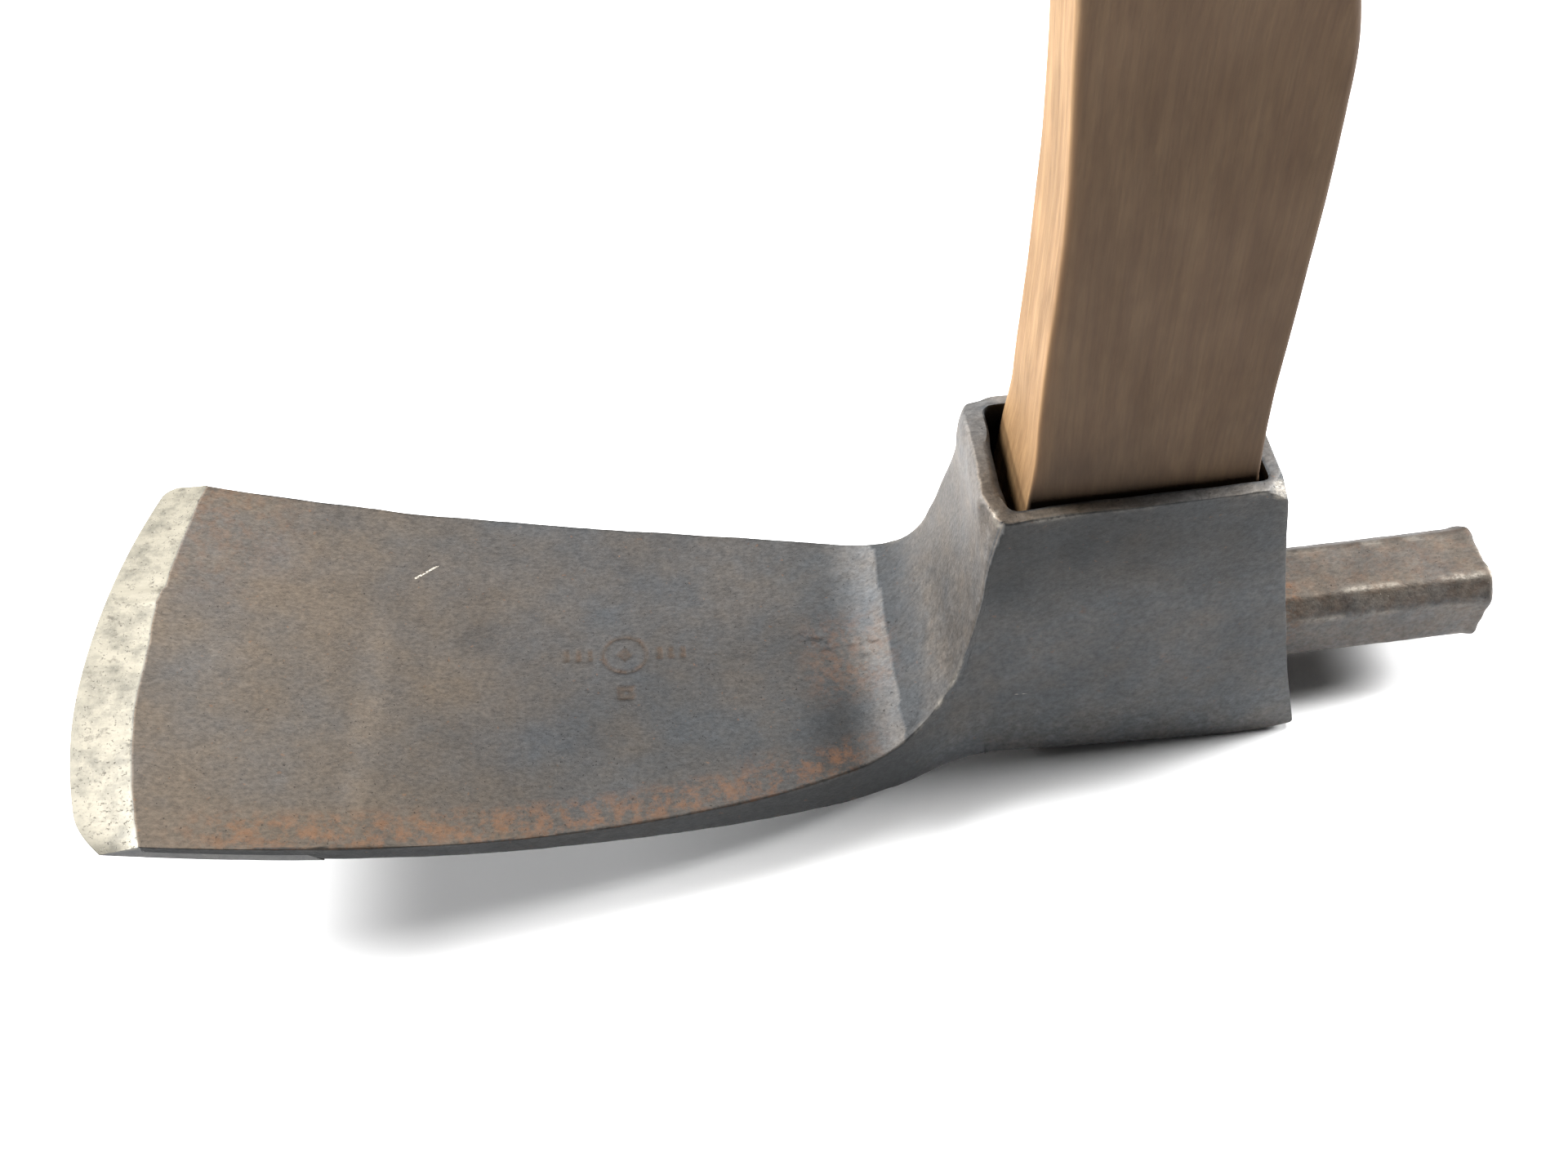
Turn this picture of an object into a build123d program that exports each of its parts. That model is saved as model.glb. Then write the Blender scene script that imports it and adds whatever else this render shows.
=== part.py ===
from build123d import *
import os

# A carpenter's adze: a forged head with a tapered eye and a square peg poll, on a curved wooden handle.
# Millimetres. +Z runs up the handle, -X points to the cutting edge, and Y = 0 is the plane of symmetry.
# The origin is under the middle of the head's length, level with the head's lowest point.

# Head, overall
head_length = 289.3  # cutting edge to the end of the peg
edge_x = -head_length / 2
peg_end_x = head_length / 2
stock_x = edge_x - 7.5  # the blade's blank runs this far before the edge is ground

# Blade, from the side
edge_corner_x = -135.2
blade_fall = 25.0  # degrees that the blade slopes at its edge
underside_points = [(stock_x, 56.6), (edge_corner_x, 48.7), (-98.7, 34.2), (-46.3, 20.4), (3.4, 10.5), (47.2, 3.0)]
lowest_x = 87.5  # where the outer face touches the ground
inner_face_z = 21.5
inner_face_x = 5.0  # where the inner face stops falling
throat_x = 23.4
throat_radius = 21.0

# Blade, from above, at the level of the ground: distance from the centre line at each place
edge_half_width = 47.5
side_points = [(-97.3, 45.1), (-65.1, 42.7), (-31.8, 38.6), (-6.4, 34.2), (14.9, 28.1), (26.0, 22.9)]
far_corner_radius = 9.0
near_corner_radius = 4.0

# Bevel, a slanting cone between two arcs: the edge, and a flatter one on the inner face
edge_z = 53.2
edge_radius = 101.7
bevel_line_radius = 148.0
edge_land = 0.25  # flat left on the cutting edge
bevel_width = 10.8  # at the middle of the edge
blade_thickness = 3.7

# Steel laid on the outer face
bit_thickness = 2.0
bit_end_x = -99.0

# Eye
rim_z = 77.6
rim_front_x = 34.15
rim_back_x = 87.25
heel_x = 102.6
heel_z = 1.6
cheek_half_width = 20.2  # at the level of the ground
cheek_draft = 0.0542  # each cheek leans in by this much for each millimetre of height
eye_corner_radius = 1.5
rim_hole = (36.85, 84.35, 13.3)  # front, back and half width of the opening at the rim
mouth_hole = (34.0, 98.2, 16.9)  # the same at the level of the ground
hole_radius = 2.0

# Peg poll
peg_side = 19.8
peg_chamfer = 3.6
peg_z = 19.3
peg_end_chamfer = 1.0

# Handle: height, middle in X, width in X, thickness in Y, corner radius
foot_bottom_z = 2.0
foot_clearance = 0.35
foot_rim_front_x = 40.4
foot_rim_back_x = 83.0
foot_rim_thickness = 24.6
shaft_sections = [
    (96.0, 61.9, 40.1, 21.8, 2.5),
    (125.0, 62.4, 38.4, 20.6, 2.6),
    (152.0, 62.3, 38.0, 19.2, 2.8),
    (176.0, 59.9, 35.6, 19.2, 3.5),
    (230.0, 49.5, 32.5, 21.0, 6.0),
    (320.0, 30.0, 31.0, 23.0, 9.0),
    (420.0, 18.0, 30.0, 24.0, 10.0),
    (530.0, 20.0, 30.0, 24.0, 10.0),
    (640.0, 34.0, 31.0, 24.5, 10.5),
    (715.0, 46.0, 34.0, 26.0, 11.0),
    (758.0, 53.0, 41.0, 29.0, 12.0),
    (778.0, 56.5, 43.0, 30.0, 12.0),
    (790.0, 58.0, 36.0, 24.0, 10.0),
]

os.makedirs("parts", exist_ok=True)


def underside(lift):
    """The outer face's line from beyond the edge to the lowest point, raised by lift."""
    raised = [(x, z + lift) for x, z in underside_points]
    raised.append((lowest_x, lift))
    return Spline(*raised, tangents=[(0.88, -0.47), (1, 0)])


# The side profile of blade and eye in one outline, right across the tool
with BuildPart() as side_stock:
    with BuildSketch(Plane.XZ):
        with BuildLine():
            outer_face = underside(0)
            heel = TangentArc(outer_face @ 1, (heel_x, heel_z), tangent=outer_face % 1)
            back_wall = ThreePointArc(heel @ 1, (93.9, 39.6), (rim_back_x, rim_z))
            rim = Line(back_wall @ 1, (rim_front_x, rim_z))
            front_wall = Line(rim @ 1, (throat_x, inner_face_z))
            throat = Line(front_wall @ 1, (inner_face_x, inner_face_z))
            inner_face = ThreePointArc(throat @ 1, (-65.1, 29.4), (stock_x, 60.6))
            Line(inner_face @ 1, outer_face @ 0)
        make_face()
        fillet(vertices().sort_by_distance((throat_x, 0, inner_face_z))[0], throat_radius)
    extrude(amount=edge_half_width + 5, both=True)


def plan_outline(height):
    """The outline from above at this height: both sides lean in with the draft."""
    lean = height * cheek_draft
    near_points = [(x, -(y - lean)) for x, y in side_points]
    far_points = [(x, y - lean) for x, y in reversed(side_points)]
    corner = edge_half_width - lean
    cheek = cheek_half_width - lean
    with BuildSketch(Plane.XY.offset(height)) as outline:
        with BuildLine():
            near_side = Spline((edge_corner_x, -corner), *near_points, (38.0, -cheek))
            near_cheek = Line(near_side @ 1, (heel_x + 5, -cheek))
            back = Line(near_cheek @ 1, (heel_x + 5, cheek))
            far_cheek = Line(back @ 1, (38.0, cheek))
            far_side = Spline(far_cheek @ 1, *far_points, (edge_corner_x, corner))
            ThreePointArc(far_side @ 1, (edge_x, 0), near_side @ 0)
        make_face()
        edge_corners = vertices().group_by(Axis.X)[0].sort_by(Axis.Y)
        fillet(edge_corners[0], near_corner_radius)
        fillet(vertices().sort_by_distance((edge_corner_x, corner, 0))[0], far_corner_radius)
    return outline.sketch.face()


with BuildPart() as plan_stock:
    loft(sections=[plan_outline(-5.0), plan_outline(rim_z + 5)], ruled=True)

# The bevel's plane is laid on the outer face at the middle of the edge
edge_plane = Plane(origin=(edge_x, 0, edge_z), x_dir=Vector(1, 0, 0).rotate(Axis.Y, blade_fall),
                   z_dir=Vector(0, 0, 1).rotate(Axis.Y, blade_fall))
waste_bottom = -2.0
waste_top = 6.5


def bevel_circle(lift):
    """The slanting cone's circle at this height above the outer face."""
    rise = (lift - edge_land) / (blade_thickness - edge_land)
    radius = edge_radius + (bevel_line_radius - edge_radius) * rise
    with BuildSketch(edge_plane.offset(lift)) as circle:
        with Locations((bevel_width * rise + radius, 0)):
            Circle(radius)
    return circle.sketch.face()


with BuildPart() as bevel_waste:
    with BuildSketch(edge_plane.offset(waste_bottom)):
        Rectangle(60, 140)
    extrude(amount=waste_top - waste_bottom)
    loft(sections=[bevel_circle(waste_bottom), bevel_circle(waste_top)], ruled=True, mode=Mode.SUBTRACT)

with BuildPart() as head_stock:
    add(side_stock.part)
    add(plan_stock.part, mode=Mode.INTERSECT)
    add(bevel_waste.part, mode=Mode.SUBTRACT)
    back_corners = edges().filter_by(lambda edge: edge.center().X > rim_back_x and edge.length > 50)
    fillet(back_corners, eye_corner_radius)


def eye_section(height, grow):
    """The eye's opening at this height, made smaller all round by grow if that is negative."""
    share = height / rim_z
    front, back, half = (low + (high - low) * share for low, high in zip(mouth_hole, rim_hole))
    with BuildSketch(Plane.XY.offset(height)) as section:
        with Locations(((front + back) / 2, 0)):
            RectangleRounded(back - front + 2 * grow, 2 * (half + grow), hole_radius)
    return section.sketch.face()


with BuildPart() as eye_hole:
    loft(sections=[eye_section(-5.0, 0), eye_section(rim_z + 5, 0)], ruled=True)

# The steel: a layer with a short scarf at its back end, and the full thickness ahead of the bevel's line
with BuildPart() as bit_layer:
    with BuildSketch(Plane.XZ):
        with BuildLine():
            lower_line = underside(-5)
            upper_line = underside(bit_thickness)
            Line(lower_line @ 0, upper_line @ 0)
            Line(lower_line @ 1, upper_line @ 1)
        make_face()
    extrude(amount=edge_half_width + 5, both=True)
    scarf = Plane(origin=(bit_end_x, 0, 34.3), z_dir=(1, 0, 1.2))
    split(bisect_by=scarf, keep=Keep.BOTTOM)

with BuildPart() as bit_zone:
    with BuildSketch(edge_plane.offset(waste_bottom)):
        Rectangle(60, 140)
    extrude(amount=waste_top - waste_bottom)
    with BuildSketch(edge_plane.offset(waste_bottom)):
        with Locations((bevel_width + bevel_line_radius, 0)):
            Circle(bevel_line_radius)
    extrude(amount=waste_top - waste_bottom, mode=Mode.SUBTRACT)
    add(bit_layer.part)

with BuildPart() as steel_bit:
    add(head_stock.part)
    add(bit_zone.part, mode=Mode.INTERSECT)

with BuildPart() as blade_and_eye:
    add(head_stock.part)
    add(eye_hole.part, mode=Mode.SUBTRACT)
    add(bit_zone.part, mode=Mode.SUBTRACT)

# Peg: a square bar with its corners taken off, seated on the eye's slanted back wall
with BuildPart() as peg_poll:
    with BuildSketch(Plane.YZ.offset(rim_back_x)):
        with Locations((0, peg_z)):
            Rectangle(peg_side, peg_side)
        chamfer(vertices(), peg_chamfer)
    extrude(amount=peg_end_x - rim_back_x)
    chamfer(faces().sort_by(Axis.X)[-1].edges(), peg_end_chamfer)
    add(head_stock.part, mode=Mode.SUBTRACT)

# Handle: a tapered foot that fills the eye's lower end, then the curved shaft
with BuildPart() as handle:
    with BuildSketch(Plane.XY.offset(rim_z)) as rim_section:
        with Locations(((foot_rim_front_x + foot_rim_back_x) / 2, 0)):
            RectangleRounded(foot_rim_back_x - foot_rim_front_x, foot_rim_thickness, hole_radius)
    loft(sections=[eye_section(foot_bottom_z, -foot_clearance), rim_section.sketch.face()], ruled=True)
    shaft = [rim_section.sketch.face()]
    for height, middle, width, thickness, radius in shaft_sections:
        with BuildSketch(Plane.XY.offset(height)) as section:
            with Locations((middle, 0)):
                RectangleRounded(width, thickness, radius)
        shaft.append(section.sketch.face())
    loft(sections=shaft)

for node, piece in (("blade_and_eye", blade_and_eye), ("steel_bit", steel_bit),
                    ("peg_poll", peg_poll), ("handle", handle)):
    piece.part.label = node
    export_step(piece.part, f"parts/{node}.step")
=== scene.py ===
import math

import bmesh
import bpy
import numpy as np
from mathutils import Matrix, Vector


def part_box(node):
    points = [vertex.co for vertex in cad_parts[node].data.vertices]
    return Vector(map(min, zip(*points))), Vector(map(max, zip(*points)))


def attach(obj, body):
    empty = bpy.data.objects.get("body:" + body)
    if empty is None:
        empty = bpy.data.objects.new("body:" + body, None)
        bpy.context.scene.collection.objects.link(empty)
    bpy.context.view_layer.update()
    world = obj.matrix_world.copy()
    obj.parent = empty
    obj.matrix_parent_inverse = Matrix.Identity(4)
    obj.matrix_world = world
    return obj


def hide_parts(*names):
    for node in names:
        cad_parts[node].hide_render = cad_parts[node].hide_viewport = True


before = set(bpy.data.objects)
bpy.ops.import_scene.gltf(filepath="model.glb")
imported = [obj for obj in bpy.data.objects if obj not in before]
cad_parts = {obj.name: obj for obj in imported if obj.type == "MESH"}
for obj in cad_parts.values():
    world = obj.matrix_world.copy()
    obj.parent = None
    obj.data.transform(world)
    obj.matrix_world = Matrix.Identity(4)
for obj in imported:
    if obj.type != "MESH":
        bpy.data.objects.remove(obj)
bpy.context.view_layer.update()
print("frame loaded:", sorted(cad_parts))

mm = 0.001  # shapes below are worked out in millimetres and written to meshes in metres
sharpAngle = 38  # faces that meet at more than this many degrees keep a sharp edge between them


def nodeBox(node):
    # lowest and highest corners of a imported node, in millimetres
    low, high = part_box(node)
    return np.array(low) / mm, np.array(high) / mm


bitLow, bitHigh = nodeBox("steel_bit")
bladeHigh = nodeBox("blade_and_eye")[1]
pegLow, pegHigh = nodeBox("peg_poll")
handleHigh = nodeBox("handle")[1]


def smoothLine(points, count):
    # cubic through every point, its slope at each point taken from the neighbours
    points = np.array(points, float)
    at = np.append(0, np.cumsum(np.linalg.norm(np.diff(points, axis=0), axis=1)))
    slope = np.gradient(points, at, axis=0)
    want = np.linspace(0, at[-1], count)
    low = np.clip(np.searchsorted(at, want, side="right") - 1, 0, len(at) - 2)
    span = (at[low + 1] - at[low])[:, None]
    share = (want - at[low])[:, None] / span
    back = 1 - share
    line = (1 + 2 * share) * back ** 2 * points[low]
    line = line + share ** 2 * (3 - 2 * share) * points[low + 1]
    return line + span * share * back * (back * slope[low] - share * slope[low + 1])


def arcThrough(first, middle, last, count):
    # the circle through three points, from the first to the last by way of the middle one
    a, b, c = (complex(*p) for p in (first, middle, last))
    w = (c - a) / (b - a)
    centre = a - (a - b) * (w - abs(w) ** 2) / (2j * w.imag)
    start = np.angle(a - centre)
    mid = (np.angle(b - centre) - start + math.pi) % math.tau - math.pi
    end = (np.angle(c - centre) - start) % math.tau
    end = end if mid > 0 else end - math.tau
    arc = centre + abs(a - centre) * np.exp(1j * (start + np.linspace(0, end, count)))
    return np.stack([arc.real, arc.imag], 1)


def roundCorner(before, corner, after, radius, count):
    # tangent arc of this radius in the corner of two straight runs
    before, corner, after = (np.array(p, float) for p in (before, corner, after))
    inward = (before - corner) / np.linalg.norm(before - corner)
    outward = (after - corner) / np.linalg.norm(after - corner)
    half = math.acos(float(inward @ outward)) / 2
    reach = radius / math.tan(half)
    toCentre = (inward + outward) / np.linalg.norm(inward + outward)
    middle = corner + toCentre * (radius / math.sin(half) - radius)
    return arcThrough(corner + inward * reach, middle, corner + outward * reach, count)


def lengthsOf(line):
    return np.append(0, np.cumsum(np.linalg.norm(np.diff(line, axis=0), axis=1)))


def alongLine(line, distance):
    # point of a dense line at each distance from its start
    at = lengthsOf(line)
    return np.stack([np.interp(distance, at, line[:, axis]) for axis in range(line.shape[1])], -1)


def spread(*runs):
    # stations from run to run: (start, end, cell size) each, shared ends kept once
    parts = []
    for start, end, cell in runs:
        count = max(1, int(round(abs(end - start) / cell)))
        parts.append(np.linspace(start, end, count + 1)[:-1])
    return np.append(np.concatenate(parts), runs[-1][1])


def ease(value, low, high):
    # 0 below low, 1 above high, smooth between them
    share = np.clip((value - low) / (high - low), 0, 1)
    return share * share * (3 - 2 * share)


def fade(value, low, high):
    # the other way round: 1 below low, 0 above high
    return 1 - ease(value, low, high)


def lumpNoise(points, size, seed):
    # random heights at the corners of cubes of this size, eased between them: from -1 to 1
    cell = points / size + 31.7 * seed
    base = np.floor(cell).astype(np.int64)
    part = cell - base
    part = part * part * (3 - 2 * part)
    total = np.zeros(points.shape[:-1])
    for corner in np.ndindex(2, 2, 2):
        key = (base + corner) @ np.array([73856093, 19349663, 83492791]) + seed * 2654435
        key = (key ^ (key >> 13)) * 1274126177 & 0x7FFFFFFF
        key = (key ^ (key >> 11)) * 668265263 & 0x7FFFFFFF
        weight = np.prod(np.where(corner, part, 1 - part), axis=-1)
        total += weight * ((key >> 7) % 4096 / 2047.5 - 1)
    return total


def patchFaces(rows, columns, offset):
    # quads of a grid whose points are numbered row by row
    number = offset + np.arange(rows * columns).reshape(rows, columns)
    return np.stack([number[:-1, :-1], number[:-1, 1:], number[1:, 1:], number[1:, :-1]], -1)


def weldPatches(name, patches):
    # patches are (points, keep): a grid of points, and which of its quads are kept
    points, faces, offset = [], [], 0
    for grid, keep in patches:
        rows, columns = grid.shape[:2]
        quads = patchFaces(rows, columns, offset)
        faces.append(quads[keep] if keep is not None else quads.reshape(-1, 4))
        points.append(grid.reshape(-1, 3))
        offset += rows * columns
    mesh = bpy.data.meshes.new(name)
    mesh.from_pydata((np.concatenate(points) * mm).tolist(), [], np.concatenate(faces).tolist())
    work = bmesh.new()
    work.from_mesh(mesh)
    bmesh.ops.remove_doubles(work, verts=work.verts, dist=1.5e-6)
    loose = [vertex for vertex in work.verts if not vertex.link_faces]
    bmesh.ops.delete(work, geom=loose, context="VERTS")
    bmesh.ops.dissolve_degenerate(work, edges=work.edges, dist=1e-7)
    bmesh.ops.recalc_face_normals(work, faces=work.faces)
    work.to_mesh(mesh)
    work.free()
    return mesh


def meshPoints(mesh):
    points = np.empty(len(mesh.vertices) * 3)
    mesh.vertices.foreach_get("co", points)
    return points.reshape(-1, 3) / mm


def meshNormals(mesh):
    normals = np.empty(len(mesh.vertices) * 3)
    mesh.vertices.foreach_get("normal", normals)
    return normals.reshape(-1, 3)


def movePoints(mesh, points):
    mesh.vertices.foreach_set("co", (points * mm).ravel())
    mesh.update()


def paint(mesh, name, values):
    # one number for each vertex, which the material reads by name
    attribute = mesh.attributes.get(name) or mesh.attributes.new(name, "FLOAT", "POINT")
    attribute.data.foreach_set("value", np.clip(values, 0, 1).astype(np.float32))


def finishPiece(name, mesh, material, body, nodes):
    mesh.shade_smooth()
    mesh.set_sharp_from_angle(angle=math.radians(sharpAngle))
    piece = bpy.data.objects.new(name, mesh)
    bpy.context.scene.collection.objects.link(piece)
    mesh.materials.append(material)
    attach(piece, body)
    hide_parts(*nodes)
    print("piece", name, len(mesh.vertices), "vertices", len(mesh.polygons), "faces")
    return piece


# the head's outline, shared by the blade, the eye, the bit and the peg
head = dict(
    draft=0.0542,  # each side leans in by this much per millimetre of height
    apexY=-9.0,  # the edge and the bevel's line stand furthest forward here, nearer one side
    edgeBend=(0.0048, 0.0026),  # drop back per square millimetre, on the near and the far side
    bevelBend=(0.0040, 0.00165),
    edgeHalf=44.85,
    farRadius=5.0,  # the round of the edge's far corner
    nearLoss=3.0,  # how far the edge's near corner drops back
    bevelWidth=11.1,
    throatRadius=21.0,
    arris=0.9,  # radius worn on the rim's and the heel's cross arrises
    layer=2.0,  # the steel's thickness under the blade
    scarfLength=2.4,
)
edgeX, heelX, rimZ = bitLow[0], bladeHigh[0], bladeHigh[2]
scarfX = bitHigh[0]
innerZ, throatX, rimFrontX, rimBackX = 21.5, 23.4, 34.15, 87.25
underLine = smoothLine([(-152.15, 56.6), (-135.2, 48.7), (-98.7, 34.2), (-46.3, 20.4),
                        (3.4, 10.5), (47.2, 3.0), (87.5, 0.0)], 600)
heelCorner = (heelX, 1.6)
heelArc = arcThrough((87.5, 0.0), (95.2, 0.4), heelCorner, 30)
innerArc = arcThrough((-152.15, 60.6), (-65.1, 29.4), (5.0, innerZ), 400)
throatArc = roundCorner((5.0, innerZ), (throatX, innerZ), (rimFrontX, rimZ), head["throatRadius"], 60)
rimFrontArc = roundCorner((throatX, innerZ), (rimFrontX, rimZ), (rimBackX, rimZ), head["arris"], 9)
backArc = arcThrough((rimBackX, rimZ), (93.9, 39.6), heelCorner, 200)
rimBackArc = roundCorner((rimFrontX, rimZ), (rimBackX, rimZ), backArc[12], head["arris"], 9)
heelRound = roundCorner(backArc[-12], heelCorner, heelArc[-6], head["arris"], 9)

upperLine = np.concatenate([innerArc, throatArc, rimFrontArc])
backLine = np.concatenate([rimBackArc, backArc[4:-4], heelRound])
lowerLine = np.concatenate([heelArc[::-1][2:], underLine[::-1][1:]])
wholeLine = np.concatenate([upperLine, backLine, lowerLine])

planLine = smoothLine([(-152, 48.3), (-135.2, 47.5), (-97.3, 45.1), (-65.1, 42.7), (-31.8, 38.6),
                       (-6.4, 34.2), (14.9, 28.1), (26.0, 23.1), (33.5, 20.9), (42.0, 20.25),
                       (60.0, 20.2), (110.0, 20.2)], 900)
lowerOrder = np.argsort(lowerLine[:, 0])


def underZ(x):
    return np.interp(x, lowerLine[lowerOrder, 0], lowerLine[lowerOrder, 1])


def innerFaceZ(x):
    return np.interp(x, innerArc[:, 0], innerArc[:, 1])


def halfWidth(x, z):
    return np.interp(x, planLine[:, 0], planLine[:, 1]) - head["draft"] * z


def bentLine(y, bends):
    # two half parabolas that meet at the apex
    return np.where(y < head["apexY"], *bends) * (y - head["apexY"]) ** 2


def edgeLine(y):
    # cutting edge from above: it bends back further towards the near corner
    drop = head["nearLoss"] * (np.maximum(-37 - y, 0) / 7.8) ** 2
    return edgeX + 0.05 + bentLine(y, head["edgeBend"]) + drop


def bevelLine(y):
    # where the bevel starts: a flatter line, with the small jogs that grinding leaves
    spot = np.stack([y, 0 * y, 0 * y], -1)
    jog = -0.55 * ease(y, 1, 7) * fade(y, 14.2, 15.2)
    jog -= 0.35 * ease(y, 10.4, 11) * fade(y, 11, 13)
    line = edgeX + head["bevelWidth"] + 0.3 + bentLine(y, head["bevelBend"])
    return line + jog + 0.14 * lumpNoise(spot, 4.0, 3) + 0.07 * lumpNoise(spot, 1.1, 4)


def edgeOutline(y):
    # the edge with its far corner rounded
    middleY = head["edgeHalf"] - head["farRadius"]
    middleX = edgeLine(np.array(middleY)) + head["farRadius"]
    rise = np.clip(y - middleY, 0, head["farRadius"])
    arc = middleX - np.sqrt(head["farRadius"] ** 2 - rise ** 2)
    return np.where(y > middleY, np.maximum(edgeLine(y), arc), edgeLine(y))


def placeGrid(xz, across):
    # carries the outline's points sideways: y is the share across times the half width there
    width = halfWidth(xz[..., 0], xz[..., 1])
    return np.stack([xz[..., 0], across * width, xz[..., 1]], -1)


def startAcross(across, line):
    # x where a line across the blade, given by y, meets each column
    y = across * head["edgeHalf"]
    for _ in range(4):
        x = line(y)
        y = across * halfWidth(x, innerFaceZ(x))
    return line(y)


eye = dict(
    rimHole=(36.85, 84.35),  # the opening's ends at the rim, and at the underside
    mouthHole=(34.0, 98.2),
    holeShare=0.834,  # the opening's share of the eye's width
    holeCorner=1.6,
    waver=0.22,  # how unevenly the opening was filed
    cut=0.25,
    farCorner=4.9,  # rounds of the front corners at the rim
    nearCorner=3.0,
    wornCorner=3.4,  # the rim's near back corner, knocked off flat
    hollow=1.1,
    lip=1.6,
    lumps=0.16,  # heights of the forged surface's unevenness, from broad to fine
    hammer=0.07,
    grain=0.03,
)
stamp = dict(x=-41.0, y=3.0, ring=4.6, groove=0.42, depth=0.34)
# dents and hammer marks on the throat: x, y, radius, depth
dents = [(6.3, 20.3, 2.0, 0.22), (0.7, 4.4, 1.6, 0.42), (2.6, 1.4, 1.3, 0.40), (-1.6, 6.2, 1.0, 0.25),
         (10.6, -1.5, 1.7, 0.34), (8.2, 1.6, 1.2, 0.28), (12.8, 1.0, 0.9, 0.3), (17.5, -21.9, 1.8, 0.40),
         (19.6, -18.4, 1.2, 0.3), (14.0, -12.0, 1.0, 0.22), (-25.4, -12.4, 1.6, 0.08),
         (22.0, 8.0, 1.2, 0.25), (19.0, 14.0, 0.9, 0.2), (-21.0, 2.5, 0.9, 0.15), (-12.5, -6.0, 0.9, 0.15)]


def squareCornerTo(points, cornerX, cornerY, signX, signY, size, core=0.0):
    # points in a square beside a corner slide onto the quarter circle in it, less so towards the core
    alongX = signX * (points[..., 0] - cornerX) + size
    alongY = signY * (points[..., 1] - cornerY) + size
    inside = (alongX > 0) & (alongY > 0) & (size > 1e-6)
    far = np.maximum(np.hypot(alongX, alongY), 1e-6)
    reach = np.maximum(alongX, alongY)
    share = np.clip((reach - core) / np.maximum(size - core, 1e-6), 0, 1)
    pull = np.where(inside, reach / far - 1, 0) * share
    points[..., 0] += signX * alongX * pull
    points[..., 1] += signY * alongY * pull


def weldFaces(bevelX, stepCells, seatCells, scarfCells):
    # where the steel meets the iron: down from the bevel's line, back under the blade, down the scarf
    step, seat, scarf = (np.linspace(0, 1, cells + 1)[:, None]
                         for cells in (stepCells, seatCells, scarfCells))
    layerTop = underZ(bevelX) + head["layer"]
    stepZ = innerFaceZ(bevelX) + (layerTop - innerFaceZ(bevelX)) * step
    scarfEnd = scarfX - head["scarfLength"]
    seatX = bevelX + (scarfEnd - bevelX) * seat
    scarfAt = np.broadcast_to(scarfEnd + (scarfX - scarfEnd) * scarf, (scarfCells + 1, len(bevelX)))
    return (np.stack([np.broadcast_to(bevelX, stepZ.shape), stepZ], -1),
            np.stack([seatX, underZ(seatX) + head["layer"]], -1),
            np.stack([scarfAt, underZ(scarfAt) + head["layer"] * (1 - scarf)], -1))


def boreWalls(top, bottom):
    # straight from the rim's opening to the mouth's, with rounded corners
    depth = spread((0, 0.02, 0.01), (0.02, 0.98, 0.05), (0.98, 1, 0.01))[:, None, None]
    bore = top + (bottom - top) * depth
    return np.concatenate([bore, bore[:, :1]], 1)


def roundHole(loop):
    low, high = loop[:, :2].min(0), loop[:, :2].max(0)
    for signX, cornerX in ((1, high[0]), (-1, low[0])):
        for signY, cornerY in ((1, high[1]), (-1, low[1])):
            squareCornerTo(loop, cornerX, cornerY, signX, signY, eye["holeCorner"])
    return loop


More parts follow.
